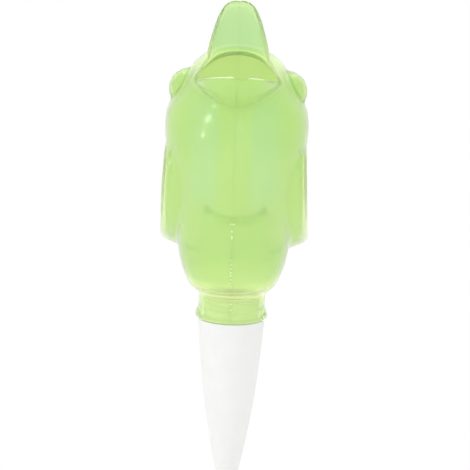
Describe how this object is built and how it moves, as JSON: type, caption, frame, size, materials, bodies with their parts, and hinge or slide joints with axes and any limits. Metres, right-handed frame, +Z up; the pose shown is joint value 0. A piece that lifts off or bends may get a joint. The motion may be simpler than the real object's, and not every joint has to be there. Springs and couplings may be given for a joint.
{
  "type": "self watering spike",
  "caption": "Bird-shaped watering reservoir with an open beak for filling, on a hollow porous clay cone that is pushed into potting soil.",
  "frame": {"origin": "on the axis of the neck, where the rim of the reservoir rests on the shoulder of the cone, which is the soil line", "axes": "+Z up along the cone and neck, the bird faces -Y, +X is on the right as the bird faces the viewer"},
  "size_m": [0.0548, 0.0755, 0.1864],
  "materials": {
    "green_plastic": "clear tinted gloss",
    "soft_seal": "satin",
    "white_clay": "fine unglazed matt"
  },
  "bodies": {
    "cone": {"clay_cone": "white_clay"},
    "seal": {"cone_seal": "soft_seal"},
    "reservoir": {"left_body_shell": "green_plastic", "right_body_shell": "green_plastic"}
  },
  "joints": [
    {"name": "reservoir_turn", "type": "hinge", "parent": "cone", "child": "seal", "pos_m": [0, 0, 0.004], "axis": [0, 0, 1], "continuous": true},
    {"name": "reservoir_lift", "type": "slide", "parent": "seal", "child": "reservoir", "axis": [0, 0, 1], "range_m": [0, 0.03]}
  ]
}
